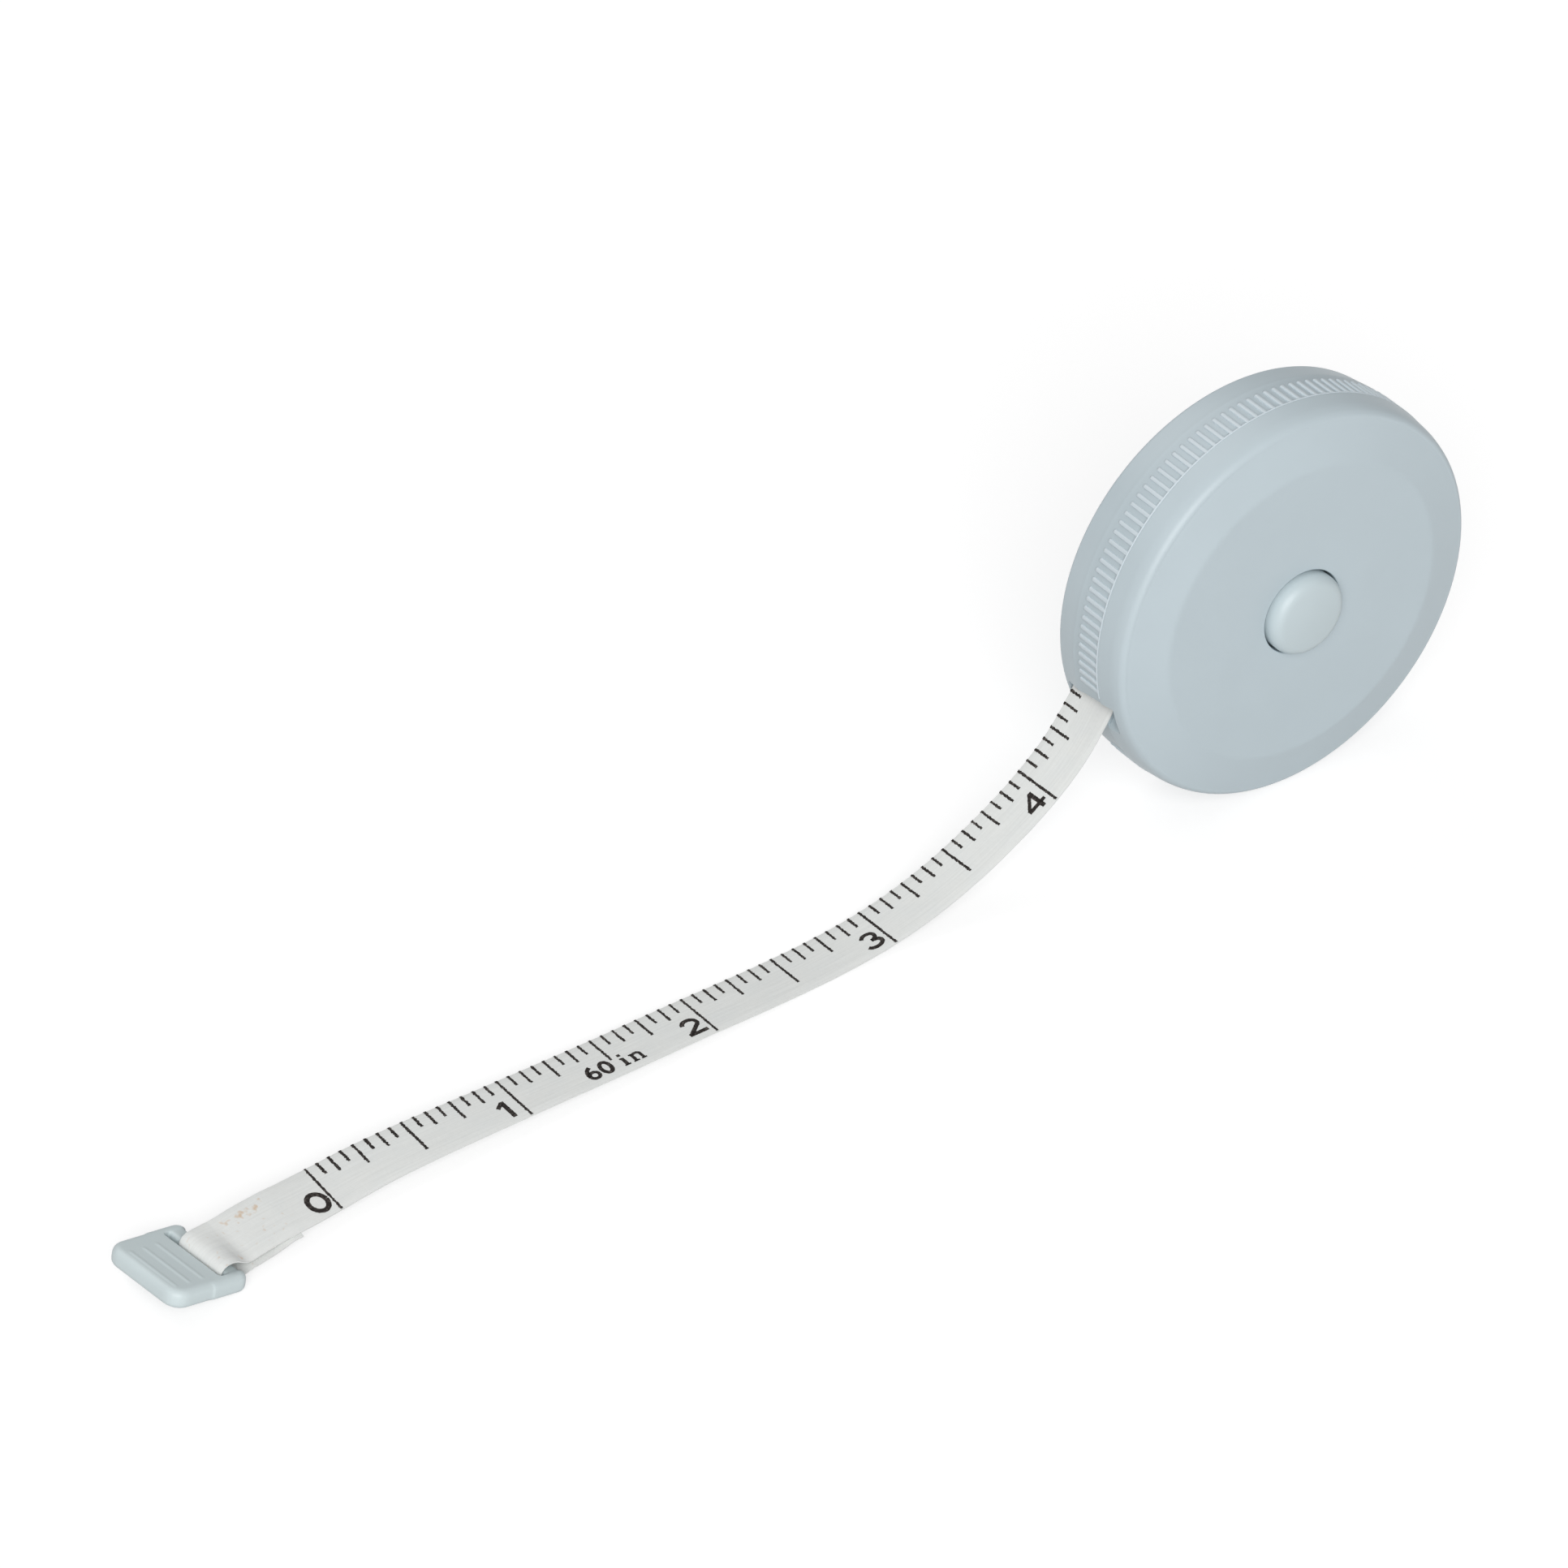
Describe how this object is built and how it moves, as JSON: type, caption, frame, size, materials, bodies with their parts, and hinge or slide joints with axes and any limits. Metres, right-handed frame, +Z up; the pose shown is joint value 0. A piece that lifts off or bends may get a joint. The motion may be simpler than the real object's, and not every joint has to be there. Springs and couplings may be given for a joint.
{
  "type": "retractable cloth tape measure",
  "caption": "Round pocket tape measure on its rim: two-part plastic case, centre release button, sprung reel and a printed cloth tape pulled out along the table to a ridged pull tab.",
  "frame": {"origin": "on the table under the middle of the case, at the bottom centre of the case's box with the button and without the free tape and its tab", "axes": "+Z up, Y along the case's axis with the button facing -Y, the tape leaves the case towards -X"},
  "size_m": [0.1823, 0.0194, 0.0503],
  "materials": {
    "case_plastic": "satin moulded plastic, pale blue-grey",
    "button_plastic": "satin moulded plastic, pale blue-grey",
    "tab_plastic": "satin moulded plastic, pale blue-grey",
    "reel_plastic": "moulded plastic, off-white",
    "brake_rubber": "matte",
    "spring_steel": "bright",
    "tape_cloth": "coated woven cloth, white with printed graduations"
  },
  "bodies": {
    "case": {"back_shell": "case_plastic", "front_shell": "case_plastic", "tape_lead": "tape_cloth"},
    "push_button": {"button": "button_plastic", "brake_ring": "brake_rubber", "button_spring": "spring_steel"},
    "reel": {"reel_drum": "reel_plastic", "reel_cover": "reel_plastic", "tape_winding": "tape_cloth", "power_spring": "spring_steel"},
    "tape_end": {"tape_free": "tape_cloth", "tape_end_loop": "tape_cloth"},
    "tab": {"pull_tab": "tab_plastic"}
  },
  "joints": [
    {"name": "button_press", "type": "slide", "parent": "case", "child": "push_button", "axis": [0, 1, 0], "range_m": [0, 0.001], "stiffness_N_per_m": 800, "deforming": ["button_spring"]},
    {"name": "reel_spin", "type": "hinge", "parent": "case", "child": "reel", "pos_m": [0, 0.00145, 0.02517], "axis": [0, -1, 0], "range_deg": [-245, 5520], "deforming": ["power_spring"]},
    {"name": "tab_pull", "type": "slide", "parent": "case", "child": "tape_end", "axis": [-1, 0, 0], "range_m": [-0.06, 1.38], "deforming": ["tape_free"]},
    {"name": "tab_swing", "type": "hinge", "parent": "tape_end", "child": "tab", "pos_m": [-0.14776, -0.00536, 0.00161], "axis": [-0.1219, 0.9925, 0], "range_deg": [-15, 75]}
  ],
  "couplings": [
    {"joint": "reel_spin", "follows": "tab_pull", "rad_per_m": 69.686}
  ]
}
